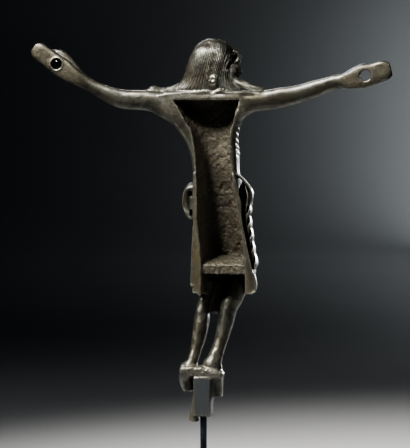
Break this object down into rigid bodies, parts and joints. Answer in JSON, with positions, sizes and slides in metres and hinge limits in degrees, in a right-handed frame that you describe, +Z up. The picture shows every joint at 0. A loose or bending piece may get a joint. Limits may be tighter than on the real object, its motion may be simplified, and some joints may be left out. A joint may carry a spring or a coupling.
{
  "type": "christ figure",
  "caption": "Cast bronze crucifix figure with outstretched arms and an open hollow back, held upright by a thin rod in a small foot block.",
  "frame": {"origin": "middle of the foot block's underside, on the rod's axis", "axes": "+Z up the rod, -Y the way the figure faces, +X towards the figure's left hand; the hollow back is towards +Y"},
  "size_m": [0.1735, 0.052, 0.2416],
  "materials": {
    "bronze": "dark brown patina, worn bright on high edges",
    "peg_iron": "dark, smooth",
    "rod_steel": "blackened satin",
    "foot_paint": "matt black paint"
  },
  "bodies": {
    "root": {"corpus": "bronze", "left_hand_peg": "peg_iron", "rod": "rod_steel", "foot_block": "foot_paint"}
  },
  "joints": []
}
